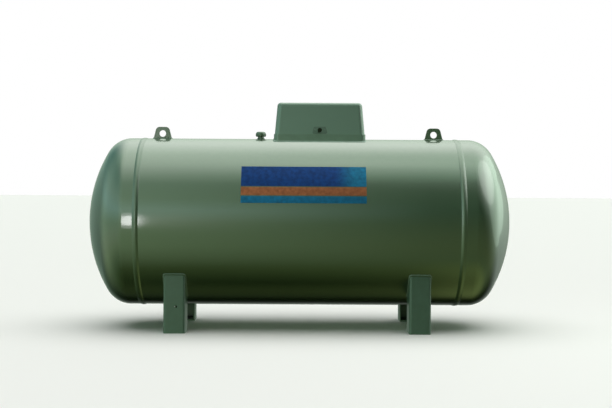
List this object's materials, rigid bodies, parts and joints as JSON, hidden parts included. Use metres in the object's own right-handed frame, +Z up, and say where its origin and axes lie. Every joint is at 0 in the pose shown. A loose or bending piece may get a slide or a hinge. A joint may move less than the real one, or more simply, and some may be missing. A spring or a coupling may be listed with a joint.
{
  "type": "horizontal pressure tank",
  "caption": "Horizontal cylindrical gas pressure vessel with dished ends, folded steel legs, lifting lugs and a hinged valve cover on top.",
  "frame": {"origin": "on the ground, under the middle of the vessel", "axes": "+Z up, +X along the vessel towards its right end, -Y towards the front with the label"},
  "size_m": [2.5238, 1.007, 1.3483],
  "materials": {
    "tank_enamel": "gloss, grey-green",
    "leg_enamel": "gloss, grey-green",
    "lug_enamel": "gloss, grey-green",
    "outlet_enamel": "gloss, grey-green",
    "collar_enamel": "semi-gloss, grey-green",
    "hinge_steel": "bright zinc",
    "boss_enamel": "gloss, grey-green",
    "valve_brass": "machined",
    "cap_plastic": "moulded, dark red",
    "gauge_alloy": "die-cast",
    "dial_face": "clear window over a plain dial",
    "handwheel_plastic": "moulded, black",
    "gauge_case_steel": "pressed case",
    "data_plate_steel": "bare, no lettering",
    "label_navy": "printed film, bare dark blue",
    "label_orange": "printed film, bare orange",
    "label_blue": "printed film, bare blue",
    "lid_enamel": "semi-gloss, grey-green",
    "lock_metal": "dulled"
  },
  "bodies": {
    "tank": {"tank_shell": "tank_enamel", "left_head": "tank_enamel", "right_head": "tank_enamel", "left_girth_weld": "tank_enamel", "right_girth_weld": "tank_enamel", "shell_seam_weld": "tank_enamel", "front_left_leg": "leg_enamel", "front_right_leg": "leg_enamel", "rear_left_leg": "leg_enamel", "rear_right_leg": "leg_enamel", "front_left_foot": "leg_enamel", "front_right_foot": "leg_enamel", "rear_left_foot": "leg_enamel", "rear_right_foot": "leg_enamel", "left_lifting_lug": "lug_enamel", "right_lifting_lug": "lug_enamel", "outlet_boss": "outlet_enamel", "outlet_cap": "outlet_enamel", "valve_collar": "collar_enamel", "hinge_bases": "collar_enamel", "hinge_pins": "hinge_steel", "relief_boss": "boss_enamel", "level_boss": "boss_enamel", "filler_boss": "boss_enamel", "service_boss": "boss_enamel", "relief_valve": "valve_brass", "filler_valve": "valve_brass", "service_valve": "valve_brass", "relief_cap": "cap_plastic", "filler_cap": "cap_plastic", "level_gauge": "gauge_alloy", "level_dial": "dial_face", "service_handwheel": "handwheel_plastic", "pressure_gauge": "gauge_case_steel", "data_plate": "data_plate_steel", "label_upper_band": "label_navy", "label_middle_band": "label_orange", "label_lower_band": "label_blue"},
    "lid": {"valve_lid": "lid_enamel", "hinge_leaves": "lid_enamel", "lock_plate": "lid_enamel", "lock_barrel": "lock_metal", "lock_flap": "lock_metal"}
  },
  "joints": [
    {"name": "lid_hinge", "type": "hinge", "parent": "tank", "child": "lid", "pos_m": [0.116, 0.146, 1.167], "axis": [-1, 0, 0], "range_deg": [0, 100]}
  ]
}
